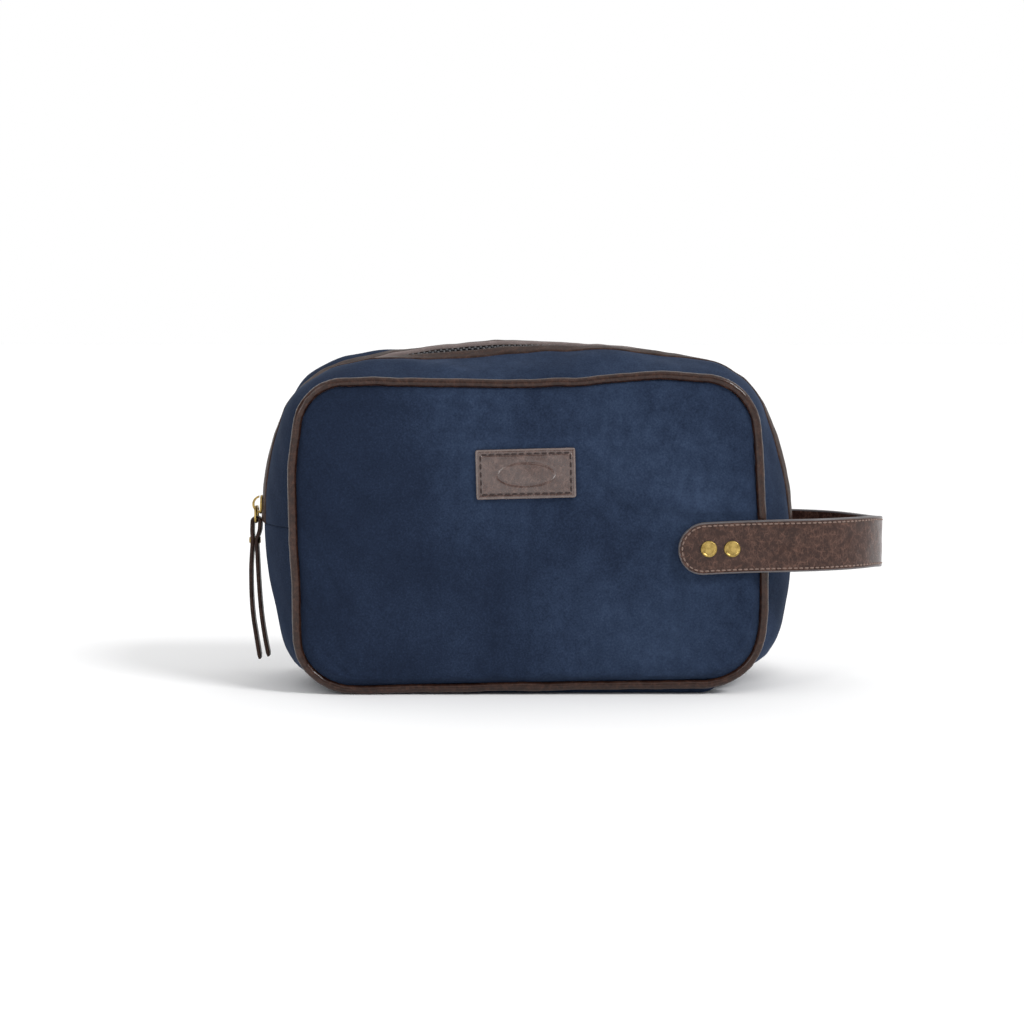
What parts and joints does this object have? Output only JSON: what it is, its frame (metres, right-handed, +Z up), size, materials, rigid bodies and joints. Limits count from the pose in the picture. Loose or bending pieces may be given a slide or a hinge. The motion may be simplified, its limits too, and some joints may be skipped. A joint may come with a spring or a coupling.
{
  "type": "zippered pouch",
  "caption": "Wash pouch with piped, padded panels, an arched gusset with a curved zip, and a riveted leather hand strap at one end; its mouth hinges open.",
  "frame": {"origin": "centre of the flat base, on the surface that the pouch stands on", "axes": "+X to the right along the pouch towards the hand strap, front panel faces -Y, +Z up"},
  "size_m": [0.3465, 0.113, 0.1865],
  "materials": {
    "suede": "navy faux suede with a short cloudy nap",
    "piping_leather": "dark brown satin leather, fine grain",
    "strap_leather": "dark brown satin leather, creased grain, painted edges",
    "label_leather": "dark brown satin leather, embossed border",
    "trim_leather": "dark brown satin leather",
    "brass": "aged satin brass",
    "zip_tape": "woven herringbone tape",
    "zip_coil": "nylon coil",
    "lining": "plain woven polyester",
    "foam": "soft open foam",
    "piping_cord": "twisted cotton",
    "board": "matt sheet"
  },
  "bodies": {
    "root": {"back_panel": "suede", "back_padding": "foam", "back_lining": "lining", "back_piping": "piping_leather", "back_piping_cord": "piping_cord", "gusset_upper_back": "suede", "gusset_lining_back": "lining", "lower_gusset": "suede", "lower_gusset_lining": "lining", "base_board": "board", "front_panel_lower": "suede", "front_padding_lower": "foam", "front_lining_lower": "lining", "front_piping_lower": "piping_leather", "front_cord_lower": "piping_cord", "hand_strap": "strap_leather", "hand_strap_lining": "strap_leather", "strap_rivets_front": "brass", "strap_rivets_back": "brass", "zip_tape_back": "zip_tape", "zip_coil_back": "zip_coil", "zip_trim_back": "trim_leather", "zip_stop_back": "brass", "zip_end_stop": "brass"},
    "front_flap": {"front_panel_upper": "suede", "front_padding_upper": "foam", "front_lining_upper": "lining", "front_piping_upper": "piping_leather", "front_cord_upper": "piping_cord", "gusset_upper_front": "suede", "gusset_lining_front": "lining", "label": "label_leather", "zip_tape_front": "zip_tape", "zip_coil_front": "zip_coil", "zip_trim_front": "trim_leather", "zip_stop_front": "brass"},
    "slider": {"zip_slider": "brass"},
    "ring": {"pull_ring": "brass"},
    "pull": {"pull_ribbon": "trim_leather", "pull_rivet": "brass"}
  },
  "joints": [
    {"name": "mouth_open", "type": "hinge", "parent": "root", "child": "front_flap", "pos_m": [0, -0.0522, 0.093], "axis": [1, 0, 0], "range_deg": [0, 30]},
    {"name": "slider_run", "type": "hinge", "parent": "root", "child": "slider", "pos_m": [0.0281, 0, 0.088], "axis": [0, 1, 0], "range_deg": [0, 17]},
    {"name": "ring_swing", "type": "hinge", "parent": "slider", "child": "ring", "pos_m": [-0.1482, 0, 0.0962], "axis": [0, 1, 0], "range_deg": [-3, 120]},
    {"name": "pull_swing", "type": "hinge", "parent": "ring", "child": "pull", "pos_m": [-0.1482, 0, 0.0881], "axis": [0, 1, 0], "range_deg": [-3, 45]}
  ]
}
